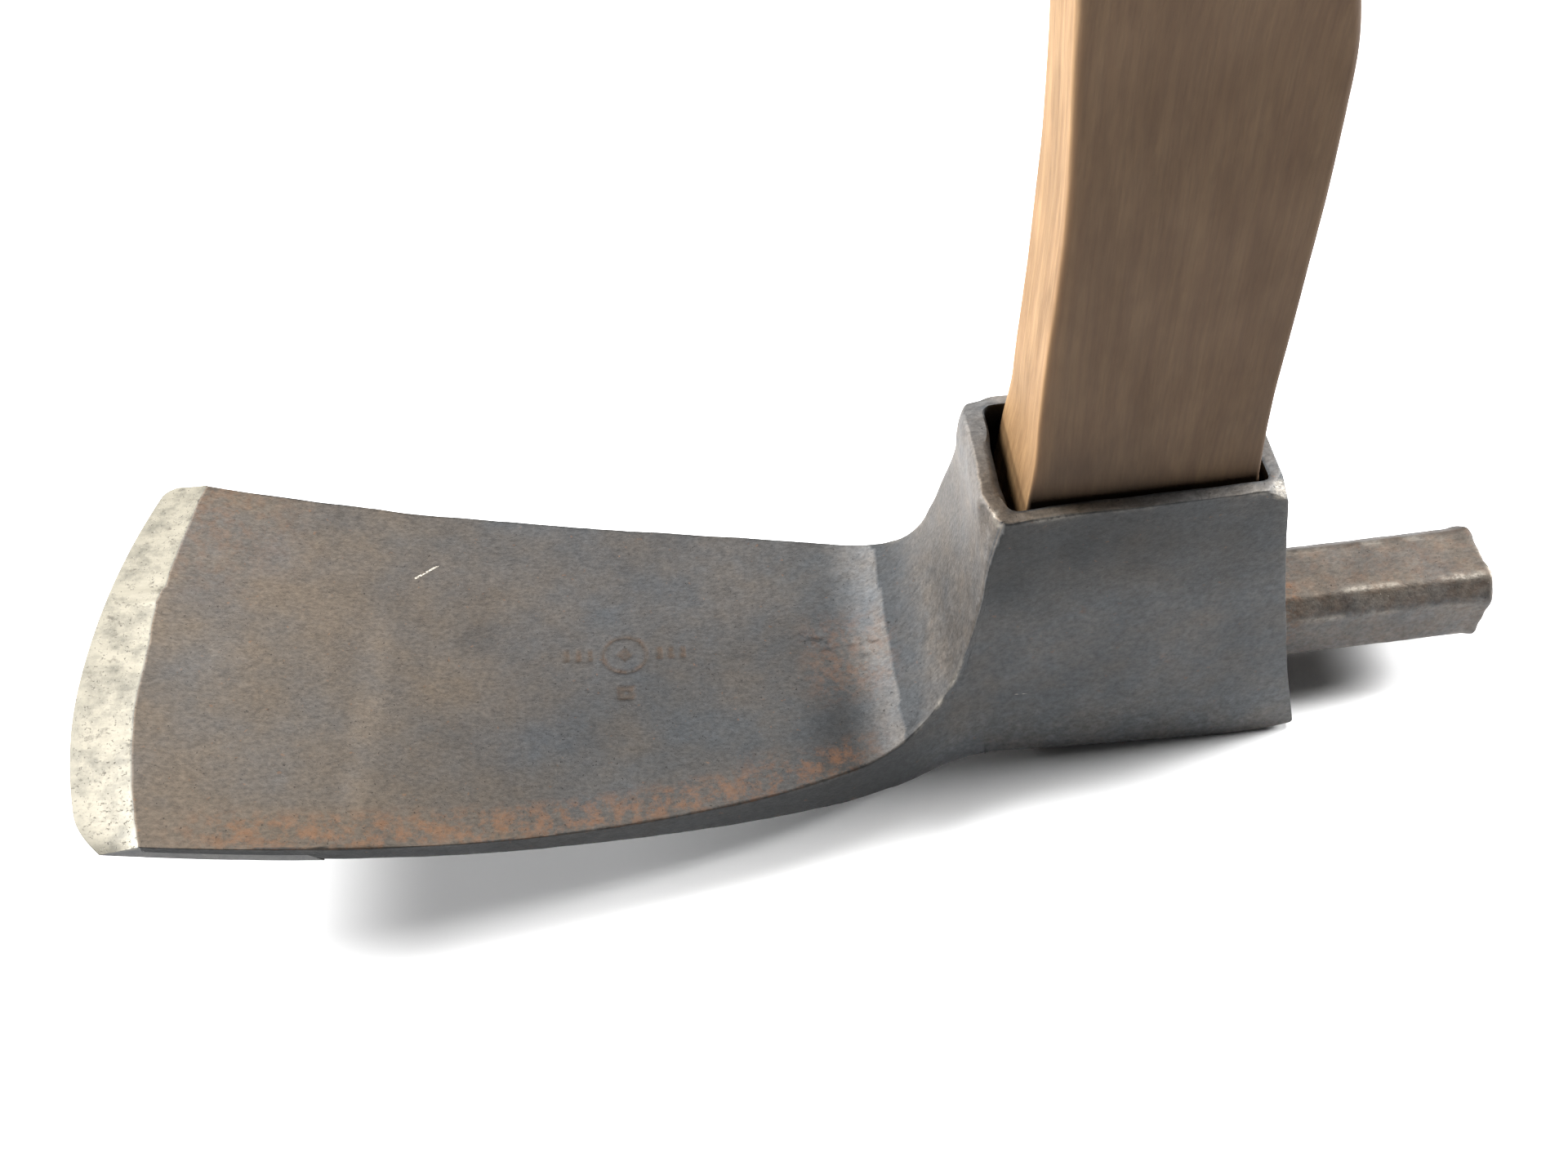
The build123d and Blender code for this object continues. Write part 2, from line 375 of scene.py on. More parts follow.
def bladePatches():
    holeShare = eye["holeShare"]
    wall = np.array([1, 0.988, 0.972, 0.947, 0.912, 0.874])
    middle = spread((-holeShare, -0.37, 0.029), (-0.37, 0.32, 0.0108), (0.32, holeShare, 0.029))
    across = np.concatenate([-wall, middle, wall[::-1]])
    first, last = len(wall), len(across) - 1 - len(wall)

    upperLength = lengthsOf(upperLine)
    end = upperLength[-1]
    bevelX = startAcross(across, bevelLine)
    start = np.interp(bevelX, innerArc[:, 0], lengthsOf(innerArc))
    centre = np.interp(0, across, start)
    reach = end - centre
    stations = spread((0, 1.2, 0.4), (1.2, 76, 1.5), (76, 110, 0.5), (110, 166, 0.8),
                      (166, reach - 4, 1.1), (reach - 4, reach - 1.8, 0.7),
                      (reach - 1.8, reach, 0.3)) / reach
    inner = alongLine(upperLine, start + stations[:, None] * (end - start))

    holeCells = 44
    rimX = np.concatenate([np.linspace(upperLine[-1, 0], eye["rimHole"][0], 4)[:-1],
                           np.linspace(*eye["rimHole"], holeCells + 1),
                           np.linspace(eye["rimHole"][1], backLine[0, 0], 4)[1:]])
    rim = np.stack([rimX, np.full_like(rimX, rimZ)], -1)
    backLength = lengthsOf(backLine)[-1]
    backAt = spread((0, 1.8, 0.3), (1.8, 4, 0.7), (4, backLength - 4, 2.1),
                    (backLength - 4, backLength - 1.8, 0.7), (backLength - 1.8, backLength, 0.3))
    back = alongLine(backLine, backAt)

    # below, each row stands under the row above it, so that the sides are straight runs in the outline
    centreX = np.interp(centre + stations * reach, upperLength, upperLine[:, 0])
    frontCells = int(np.searchsorted(centreX, scarfX))
    scarfCells, wallCells = 2, 2
    seatCells = frontCells - scarfCells - wallCells
    belowX = centreX[frontCells:] - 0.8 * ease(centreX[frontCells:], 20, 34)
    belowX[0] = scarfX
    underX = np.concatenate([np.linspace(backLine[-1, 0], eye["mouthHole"][1], 4)[:-1],
                             np.linspace(*eye["mouthHole"][::-1], holeCells + 1),
                             np.linspace(eye["mouthHole"][0], belowX[-1], 4)[1:-1], belowX[::-1]])
    under = np.stack([underX, underZ(underX)], -1)
    under[0] = backLine[-1]
    step, seat, scarf = (face[::-1] for face in weldFaces(bevelX, wallCells, seatCells, scarfCells))

    def widen(line):
        return np.broadcast_to(line[:, None], (len(line), len(across), 2))

    grids = {name: placeGrid(line, across) for name, line in (
        ("inner", inner), ("rim", widen(rim)), ("back", widen(back)), ("under", widen(under)),
        ("scarf", scarf), ("seat", seat), ("step", step))}

    def holeIndex(rows):
        # rows and columns of the opening's outline, once round
        columns = np.arange(first, last + 1)
        down, over = len(rows) - 1, len(columns) - 1
        return (np.concatenate([np.full(over, rows[0]), rows[:-1], np.full(over, rows[-1]), rows[:0:-1]]),
                np.concatenate([columns[:-1], np.full(down, last), columns[:0:-1],
                                np.full(down, first)]))

    loops = []
    for name, rows in (("rim", np.arange(3, 4 + holeCells)), ("under", np.arange(3, 4 + holeCells)[::-1])):
        index = holeIndex(rows)
        loop = roundHole(grids[name][index])
        if name == "rim":  # the rim's opening was filed by hand: its outline wavers
            middle = np.array([loop[:, 0].mean(), loop[:, 1].mean()])
            loop[:, :2] += (loop[:, :2] - middle) / 20 * eye["waver"] * lumpNoise(loop, 5.5, 15)[:, None]
            atFront = (loop[:, 0] < 40) * fade(np.abs(loop[:, 1] + 1.5), 4, 8.5)
            loop[:, 0] -= eye["cut"] * atFront
        grids[name][index] = loop
        loops.append(loop)
    patches = []
    for name, grid in grids.items():
        keep = np.ones((grid.shape[0] - 1, len(across) - 1), bool)
        if name in ("rim", "under"):
            keep[3:3 + holeCells, first:last] = False
        patches.append((grid, keep))
    patches.append((boreWalls(*loops), None))

    # the two sides: straight runs from the upper outline to the lower one, bent to the back wall at its end
    drop = (backAt / backLength)[:, None, None]
    for column in (0, -1):
        upper = np.concatenate([grids["inner"][:, column], grids["rim"][1:, column]])[:, ::2]
        lower = np.concatenate([grids["under"][:, column]]
                               + [grids[name][1:, column] for name in ("scarf", "seat", "step")])[::-1, ::2]
        sheet = upper * (1 - drop) + lower * drop
        bend = back[:, None] - sheet[:, -1:]
        weight = ease(upper[:, 0], 36, rimBackX)[:, None]
        patches.append((placeGrid(sheet + bend * weight, across[column]), None))
    return patches


def wearArrises(points, radius):
    # rounds the long arrises: a point within the radius of one slides onto the quarter circle in it
    side = halfWidth(points[:, 0], points[:, 2]) - np.abs(points[:, 1])
    outline = alongLine(wholeLine, np.arange(0, lengthsOf(wholeLine)[-1], 0.35))
    tangent = np.gradient(outline, axis=0)
    normal = np.stack([-tangent[:, 1], tangent[:, 0]], -1)
    normal /= np.maximum(np.linalg.norm(normal, axis=1, keepdims=True), 1e-9)
    near = np.flatnonzero((side < radius) & (np.abs(points[:, 1]) > 1))
    gap, facing = np.empty(len(near)), np.empty((len(near), 2))
    for chunk in np.array_split(np.arange(len(near)), max(1, len(near) // 3000)):
        spot = points[near[chunk]][:, ::2]
        distance = np.linalg.norm(spot[:, None] - outline[None], axis=2)
        nearest = distance.argmin(1)
        facing[chunk] = normal[nearest]
        gap[chunk] = np.abs(((spot - outline[nearest]) * normal[nearest]).sum(1))
    here = radius[near]
    lateral, depth = side[near], gap
    onFace = depth < 0.02
    turn = (1 - np.clip(np.where(onFace, lateral, depth) / here, 0, 1)) * math.pi / 4
    along, inward = here * (1 - np.sin(turn)), here * (1 - np.cos(turn))
    newLateral = np.where(onFace, along, np.where(depth < here, inward, lateral))
    newDepth = np.where(onFace, inward, np.where(depth < here, along, depth))
    active = (lateral < here) & (depth < here)
    moved = points.copy()
    sign = np.sign(points[near, 1])
    moved[near, 1] -= np.where(active, (newLateral - lateral) * sign, 0)
    shift = np.where(active, newDepth - depth, 0)[:, None] * facing
    moved[near, 0] -= shift[:, 0]
    moved[near, 2] -= shift[:, 1]
    return moved


def makeBlade():
    mesh = weldPatches("bladeAndEye", bladePatches())
    points = meshPoints(mesh)
    x, y, z = points.T
    radius = 0.55 + 0.22 * lumpNoise(points, 7, 11) + 0.12 * lumpNoise(points, 2.5, 12)
    radius = np.where((x < -100) | (x > 70), 0.35, radius) * (1 - 0.3 * (z > 70))
    radius = radius + 0.5 * ease(x, 20, 30) * ease(z, 30, 60) * fade(x, 36, 40)
    points = wearArrises(points, np.maximum(radius, 0.2))

    # the eye's front corners are turned in rounds that grow towards the rim
    frontX = np.interp(points[:, 2], upperLine[400:, 1], upperLine[400:, 0])
    onEye = (points[:, 0] > 24) & (points[:, 0] < 50)
    for side, widest, start in ((1, eye["farCorner"], 44), (-1, eye["nearCorner"], 60)):
        size = widest * ease(points[:, 2], start, rimZ) * onEye
        squareCornerTo(points, frontX, side * halfWidth(points[:, 0], points[:, 2]), -1, side, size,
                       np.maximum(size - 2.7, 0))

    # hammering has hollowed the front wall half way up and spread its top into a lip
    x, y, z = points.T
    onWall = fade(x - frontX, 1.2, 2.6) * (x > 18) * (x < 38)
    hollow = eye["hollow"] * ease(z, 30, 50) * fade(z, 56, 70)
    lip = eye["lip"] * ease(z, 63, 76) * ease(y, -16, -8) * (1 + 0.25 * lumpNoise(points, 5, 14))
    points[:, 0] += onWall * (hollow - lip)

    # the near back corner of the rim is knocked off flat
    facet = np.array([0.50, -0.46, 0.73])
    facet /= np.linalg.norm(facet)
    corner = np.array([rimBackX, -(halfWidth(rimBackX, rimZ)), rimZ])
    over = (points - corner) @ facet + eye["wornCorner"] * 0.62
    points -= np.maximum(over, 0)[:, None] * facet
    movePoints(mesh, points)

    # forged unevenness along the surface, none at the bevel's line and less inside the eye
    normals = meshNormals(mesh)
    x, y, z = points.T
    inBore = (x > 36.2) & (x < 98) & (np.abs(y) < np.minimum(17.2, 15.4 + (rimZ - z) * 0.02))
    inBore &= np.abs(normals[:, 2]) < 0.6
    lift = forgedLift(points)
    rimTop = ease(normals[:, 2], 0.8, 0.95) * (z > rimZ - 2)
    lift += rimTop * 0.18 * lumpNoise(points, 4.5, 24)
    onInner = ease(normals[:, 2], 0.25, 0.6) * (z > underZ(x) + 2) * (x < 30)
    for dentX, dentY, size, depth in dents:
        away = np.hypot(x - dentX, y - dentY) / size
        away += 0.35 * lumpNoise(points, 1.4, 31)
        raised = 0.3 * np.exp(-((away - 1.3) * 3.0) ** 2) * (x > dentX)
        lift -= onInner * depth * (np.exp(-(away * 1.3) ** 2) - raised)
    punch = stampDepth(x, y)
    lift -= onInner * punch * stamp["depth"]
    streak = lumpNoise(np.stack([y * 9, x, z], -1), 9, 27)
    lift += onInner * ease(x, 2, 16) * 0.05 * streak
    lift = np.where(inBore, 0.3 * lift, lift)
    points = points + normals * np.minimum(lift, 0.45)[:, None]
    points[:, 2] = np.clip(points[:, 2], 0.0, rimZ + 0.4)
    movePoints(mesh, points)
    paintHead(mesh, points, punch * onInner)
    return mesh


def forgedLift(points):
    # height of the hammered and filed surface over its true shape, fading out towards the bevel's line
    x, y = points[:, 0], np.clip(points[:, 1], -44, 44)
    lift = eye["lumps"] * lumpNoise(points, 17, 21) + eye["hammer"] * lumpNoise(points, 6.5, 22)
    lift += eye["grain"] * lumpNoise(points, 2.3, 23) - 0.04
    seam = 1 - fade(np.abs(x - scarfX), 0.5, 5) * (points[:, 2] < underZ(x) + 2.6)
    return lift * ease(x - bevelLine(y), 0.3, 7) * seam


def stampDepth(x, y):
    # a plain maker's punch: a ring round a lozenge, three bars on each side of it, and a square below
    u, v = x - stamp["x"], y - stamp["y"]
    ring = np.exp(-((np.hypot(u, v) - stamp["ring"]) / stamp["groove"]) ** 2)
    lozenge = fade((np.abs(u) + np.abs(v)) / 2.0, 0.72, 1.1)
    shape = np.maximum(ring, lozenge)
    for offset in (7.4, 9.9, 12.4):
        bar = fade(np.abs(np.abs(u) - offset), 0.3, 0.8) * fade(np.abs(v), 1.2, 1.8)
        shape = np.maximum(shape, bar)
    square = np.maximum(np.abs(u), np.abs(v + 10.0))
    return np.maximum(shape, fade(square, 1.5, 2.0) * ease(square, 0.1, 0.7))


def paintHead(mesh, points, punch):
    # wear is bright bare metal, rust is orange bloom, and stamped is the bottom of the punch mark
    x, y, z = points.T
    normals = meshNormals(mesh)
    side = halfWidth(x, z) - np.abs(y)
    outline = alongLine(wholeLine, np.arange(0, lengthsOf(wholeLine)[-1], 0.8))
    gap = np.full(len(points), 9.0)
    near = np.flatnonzero(side < 1.6)
    for chunk in np.array_split(near, max(1, len(near) // 3000)):
        gap[chunk] = np.linalg.norm(points[chunk][:, None, ::2] - outline[None], axis=2).min(1)
    arris = np.exp(-((np.maximum(side, 0) + gap) / 0.85) ** 2)
    ridge = ease(x, 12, 26) * fade(x, 36, 40) * (z > 20)
    strength = 0.08 + 0.75 * ridge + 0.25 * ease(z, 70, 77) * ease(x, 30, 40)
    broken = 0.5 + 0.5 * lumpNoise(points, 5, 41) + 0.35 * lumpNoise(points, 1.6, 42)
    wear = arris * strength * ease(broken, 0.15, 0.9)
    facetDistance = np.linalg.norm(points - [rimBackX - 0.6, -15.2, rimZ - 0.8], axis=1)
    wear = np.maximum(wear, 0.5 * fade(facetDistance, 1.7, 2.4))
    burr = np.linalg.norm((points - [rimFrontX + 0.4, -14.8, rimZ - 0.6]) * [1, 0.55, 1], axis=1)
    wear = np.maximum(wear, fade(burr, 0.6, 1.6) * ease(broken, 0.2, 0.6))
    paint(mesh, "wear", wear)
    rust = ease(x, -129, -112) * fade(x, 2, 16) * fade(np.abs(side - 3.5), 1.5, 6) * (y < 0)
    rust = np.maximum(rust, 0.55 * ease(x, -6, 2) * fade(x, 12, 20) * fade(np.abs(y + 2), 5, 15))
    rust = np.maximum(rust, 0.5 * fade(x, -128, -100) * ease(y, 5, 40))
    patch = ease(y, -36, -30) * fade(y, -28, -22) * ease(x, -24, -12) * fade(x, -8, 2)
    rust = np.maximum(rust, 0.7 * patch)
    rust = rust * (normals[:, 2] > 0.3) * (x < 26)
    for spotX, spotZ in ((51.5, 50.5), (70.6, 31.0)):
        away = np.hypot(x - spotX, z - spotZ)
        rust = np.maximum(rust, 1.2 * fade(away, 0.5, 1.4) * (y < -14))
    rust = np.maximum(rust, punch * 0.5)
    paint(mesh, "rust", 0.8 * rust)

    # tone: how light the skin is, with 0.5 in the middle, part its own unevenness and marks and part
    # painted light and shade; warm is how brown
    inner = ease(normals[:, 2], 0.35, 0.6) * (x < 16)
    wall = (normals[:, 0] < -0.3) * ease(z, 24, 34) * (x < 40)
    cheek = ease(np.abs(normals[:, 1]), 0.6, 0.9) * ease(x, 14, 30)
    strip = ease(np.abs(normals[:, 1]), 0.5, 0.8) * fade(x, 8, 24)
    toneAndLight = 0.5 + inner * (0.08 * fade(x, -130, -80) - 0.02)
    toneAndLight += inner * 0.02 * (ease(x, -60, 0) + fade(x, -80, -20))
    # painted light and shade: the front wall, which faces the left, lighter and more so near the rim; the
    # blade's side strips darker
    toneAndLight += wall * (0.32 + 0.18 * ease(z, 50, 70)) - strip * 0.19
    # painted light: the cheek lighter low down, where the floor's shade falls, and high up
    toneAndLight += cheek * (0.19 * fade(z, 45, 70) + 0.18 * fade(z, 5, 35) - 0.10)
    # painted light: the throat lighter where it turns up towards the left
    toneAndLight += inner * 0.32 * ease(x, 3, 14)
    shade = lumpNoise(points * [1, 1, 0.8], 15, 43) * 0.6 + lumpNoise(points, 6, 44) * 0.4
    toneAndLight += 0.05 * shade * (1 + cheek)
    # the near cheek darker towards its front top, and lighter towards the heel
    toneAndLight -= cheek * 0.06 * fade(np.hypot((x - 44) * 0.7, z - 66), 6, 22) * (y < 0)
    toneAndLight += cheek * 0.06 * ease(x, 80, 92)
    toneAndLight -= 0.07 * fade(np.hypot(x + 119, y - 29), 0.5, 5.5) * inner
    toneAndLight -= 0.06 * fade(np.hypot(x + 72, y - 8), 0.5, 8) * inner
    toneAndLight += 0.07 * fade(np.abs(x + 92 - 0.05 * y), 1, 4) * fade(np.abs(y + 12), 18, 30) * inner
    toneAndLight -= 0.13 * inner * fade(np.hypot(x - 6, (y + 22) * 0.6), 3, 14)
    # painted light: the rim's top face lighter
    toneAndLight += 0.27 * ease(normals[:, 2], 0.6, 0.9) * (z > rimZ - 2.5)
    paint(mesh, "toneAndLight", toneAndLight)
    warm = inner * (0.75 - 0.5 * ease(x, -95, -45) + 0.25 * fade(y, -40, -14))
    warm += inner * 0.25 * lumpNoise(points, 12, 45)
    warm = np.maximum(warm, wall * 0.45) * (1 - cheek)
    warm += cheek * (0.1 + 0.16 * ease(lumpNoise(points, 11, 46), 0, 0.7))
    rimLevel = ease(normals[:, 2], 0.6, 0.9) * (z > rimZ - 2.5)
    warm = np.maximum(warm, rimLevel * (0.8 - 0.5 * ease(x, 50, 70)) * (1 - 0.5 * ease(y, -6, 6)))
    paint(mesh, "warm", warm)
    paint(mesh, "stamped", punch)


bit = dict(
    land=0.10,  # how thick the worn edge is
    hollow=0.10,  # how much grinding has hollowed the bevel
    acrossCells=170,
    cells=(26, 2, 24, 2, 4),  # along the bevel, its step, the seat and the scarf, and down the sides
)


def makeBit():
    quarter = math.pi / 2 * 0.92  # columns stand closer together towards the two corners
    across = np.sin(np.linspace(-1, 1, bit["acrossCells"] + 1) * quarter) / math.sin(quarter)
    bevelX = startAcross(across, bevelLine)
    frontX = np.minimum(startAcross(across, edgeOutline), bevelX - 0.4)
    bevelCells, stepCells, seatCells, scarfCells, rows = bit["cells"]

    def bevelTop(x):
        y = across * halfWidth(x, innerFaceZ(x))
        share = np.clip((x - edgeLine(y)) / (bevelX - edgeLine(y)), 0, 1)
        full = innerFaceZ(bevelX) - underZ(bevelX)
        hollow = bit["hollow"] * 4 * share * (1 - share)
        return underZ(x) + bit["land"] + (full - bit["land"]) * share - hollow

    def shares(cells):
        return np.linspace(0, 1, cells + 1)[:, None]

    share = shares(bevelCells)
    bevelAt = frontX + (bevelX - frontX) * share
    bevel = np.stack([bevelAt, bevelTop(bevelAt)], -1)
    bevel[-1, :, 1] = innerFaceZ(bevelX)
    step, seat, scarf = weldFaces(bevelX, stepCells, seatCells, scarfCells)
    share = shares(bevelCells + stepCells + seatCells + scarfCells)
    upperX = np.concatenate([bevelAt, step[1:, :, 0], seat[1:, :, 0], scarf[1:, :, 0]])
    lowerX = (0.92 * upperX + 0.08 * (frontX + (scarfX - frontX) * share))[::-1]
    lower = np.stack([lowerX, underZ(lowerX)], -1)
    frontZ = underZ(frontX) + (bevel[0, :, 1] - underZ(frontX)) * shares(rows)
    front = np.stack([np.broadcast_to(frontX, frontZ.shape), frontZ], -1)
    grids = [placeGrid(line, across) for line in (bevel, step, seat, scarf, lower, front)]
    patches = [(grid, None) for grid in grids]
    drop = np.linspace(0, 1, rows + 1)[:, None, None]
    for column in (0, -1):
        top = np.concatenate([grids[0][:, column]] + [grid[1:, column] for grid in grids[1:4]])[:, ::2]
        bottom = grids[4][::-1, column, ::2]
        patches.append((placeGrid(top * (1 - drop) + bottom * drop, across[column]), None))
    mesh = weldPatches("steelBit", patches)
    points = meshPoints(mesh)
    x, y = points[:, 0], points[:, 1]
    normals = meshNormals(mesh)
    sideways = np.clip(y, -44, 44)
    behindEdge = x - edgeOutline(sideways)
    onBevel = ease(bevelLine(sideways) - x, 0, 1.0) * ease(behindEdge, 0.0, 2.0)
    ripple = 0.05 * lumpNoise(points, 9, 51) + 0.02 * lumpNoise(points, 2.2, 52)
    points = points + normals * (ripple * onBevel + forgedLift(points))[:, None]
    movePoints(mesh, points)
    ground = ease(normals[:, 2], 0.5, 0.8) * ease(bevelLine(sideways) - x, -0.05, 0.05)
    paint(mesh, "ground", ground)
    behindEdge = x - edgeOutline(np.clip(y, -44.8, 44.8))
    paint(mesh, "keen", fade(behindEdge, 0.2, 2.2) * ground)
    return mesh


peg = dict(
    side=pegHigh[1] - pegLow[1],
    chamfer=3.6,
    axisZ=(pegLow[2] + pegHigh[2]) / 2,
    flare=0.9,  # how much it swells where it is welded on
    burr=0.35,  # how much hammering has spread its end
    ringCount=144,
)


def makePeg():
    half, cut = peg["side"] / 2, peg["chamfer"]
    flat = half - cut
    loop = np.array([(half, -flat), (half, flat), (flat, half), (-flat, half), (-half, flat),
                     (-half, -flat), (-flat, -half), (flat, -half), (half, -flat)])
    fine = alongLine(loop, np.linspace(0, lengthsOf(loop)[-1], peg["ringCount"] + 1))[:-1]
    ring = fine.copy()
    for shift in (-1, 1, -2, 2):  # averaging with the neighbours rounds the long arrises
        ring += np.roll(fine, shift, axis=0)
    ring /= 5
    along = spread((0, 0.06, 0.01), (0.06, 0.93, 0.0145), (0.93, 1.0, 0.01))[:, None]
    y, z = ring[:, 0], ring[:, 1]

    def insideWall(height):
        # x a little way inside the eye's back wall at this height above the peg's axis
        return np.interp(height + peg["axisZ"], backArc[::-1, 1], backArc[::-1, 0]) - 0.6

    rootX = insideWall(z)
    endX = pegHigh[0] - 0.9
    x = rootX + (endX - rootX) * along
    grow = 1 + peg["flare"] / half * fade(x - rootX, 0.4, 3.2)
    grow += peg["burr"] / half * ease(x, endX - 3.5, endX - 0.6)
    grow -= 0.9 / half * ease(x, endX - 0.7, endX)
    body = np.stack([x, y * grow, z * grow + peg["axisZ"]], -1)
    closing = np.linspace(1, 0.0, 12)[1:, None]
    capX = endX + 0.75 * (1 - closing ** 2) + 0 * y
    cap = np.stack([capX, y * closing * grow[-1], z * closing * grow[-1] + peg["axisZ"]], -1)
    root = np.stack([insideWall(z * closing), y * closing * grow[0],
                     z * closing * grow[0] + peg["axisZ"]], -1)
    whole = np.concatenate([root[::-1], body, cap])
    whole = np.concatenate([whole, whole[:, :1]], 1)
    mesh = weldPatches("pegPoll", [(whole, None)])
    points = meshPoints(mesh)
    normals = meshNormals(mesh)
    x = points[:, 0]
    lift = 0.13 * lumpNoise(points, 8, 61) + 0.06 * lumpNoise(points, 3, 62)
    lift += 0.03 * lumpNoise(points, 1.3, 63)
    lift += 0.22 * lumpNoise(points, 2.6, 64) * ease(x, endX - 5, endX)
    points = points + normals * lift[:, None]
    points[:, 0] = np.minimum(points[:, 0], pegHigh[0])
    movePoints(mesh, points)
    sideways, upward = np.abs(points[:, 1]), np.abs(points[:, 2] - peg["axisZ"])
    fromCut = np.abs(sideways + upward - (2 * half - cut))
    fromFlat = np.maximum(sideways, upward) - half
    arris = np.exp(-(fromFlat / 0.35) ** 2) * np.exp(-fromCut ** 2)
    broken = 0.5 + 0.5 * lumpNoise(points, 4, 65) + 0.4 * lumpNoise(points, 1.3, 66)
    end = ease(x, endX - 1.2, endX - 0.2) * ease(broken, 0.2, 0.8)
    paint(mesh, "wear", np.maximum(arris * 0.55 * ease(broken, 0.3, 0.9), end))
    paint(mesh, "rust", fade(x - pegLow[0], 3.5, 7.5) + 0.25)
    # painted light: the top faces lighter, and the faces turned to the near side much lighter
    toneAndLight = 0.48 + 0.06 * lumpNoise(points, 4, 67) + 0.08 * ease(normals[:, 2], 0.8, 0.95)
    paint(mesh, "toneAndLight", toneAndLight + 0.34 * ease(-normals[:, 1], 0.3, 0.9))
    paint(mesh, "warm", 0.35 + 0.35 * ease(normals[:, 2], 0.5, 0.9))
    paint(mesh, "stamped", 0 * x)
    return mesh


# height, middle in X, width in X, thickness in Y, corner radius
handleSections = np.array([
    (77.6, 61.7, 42.6, 24.6, 0.9), (86.6, 61.9, 41.3, 23.2, 0.9), (96.0, 61.9, 41.0, 21.9, 1.0),
    (109.0, 62.2, 40.8, 20.5, 1.0), (125.0, 62.4, 40.1, 20.5, 1.1), (140.0, 62.5, 39.8, 20.2, 1.2),
    (152.0, 62.3, 39.9, 18.7, 1.3), (162.0, 61.9, 39.9, 17.8, 1.5), (176.0, 59.9, 37.4, 19.2, 2.2),
    (200.0, 55.8, 34.8, 20.2, 3.6), (230.0, 49.5, 32.7, 21.0, 5.4), (320.0, 30.0, 30.8, 23.0, 9.0),
    (420.0, 18.0, 29.8, 23.8, 10.4), (530.0, 20.0, 29.8, 23.8, 10.6), (640.0, 34.0, 30.8, 24.3, 10.8),
    (715.0, 46.0, 33.8, 25.8, 11.4), (758.0, 53.0, 40.6, 28.8, 12.4), (778.0, 56.4, 42.6, 29.8, 12.6)])
handle = dict(
    foot=(2.35, 34.35, 97.0, 33.2),  # its height, its ends in X and its thickness
    knobZ=778.0,  # the top rounds off above this height
    sideCells=16,
    cornerCells=6,
)


def sectionRing(middle, width, thickness, radius):
    # rounded rectangles, one for each station: four corner arcs with points along the flats between them
    corners = np.array([(1, 1), (-1, 1), (-1, -1), (1, -1)])
    turn = np.linspace(0, math.pi / 2, handle["cornerCells"] + 1)
    share = np.linspace(0, 1, handle["sideCells"] + 1)[1:-1]
    half, deep, radius = ((width / 2 - radius)[:, None], (thickness / 2 - radius)[:, None],
                          radius[:, None])
    arcs = []
    for number, (signX, signY) in enumerate(corners):
        angle = turn + number * math.pi / 2
        arcs.append(np.stack([signX * half + radius * np.cos(angle),
                              signY * deep + radius * np.sin(angle)], -1))
    parts = []
    for number in range(4):
        start, end = arcs[number][:, -1:], arcs[(number + 1) % 4][:, :1]
        parts += [arcs[number], start + (end - start) * share[None, :, None]]
    ring = np.concatenate(parts, 1)
    ring[..., 0] += middle[:, None]
    return ring


def liftRing(ring, height):
    # gives each flat ring its height
    return np.concatenate([ring, np.broadcast_to(height[:, None, None], ring.shape[:2] + (1,))], -1)


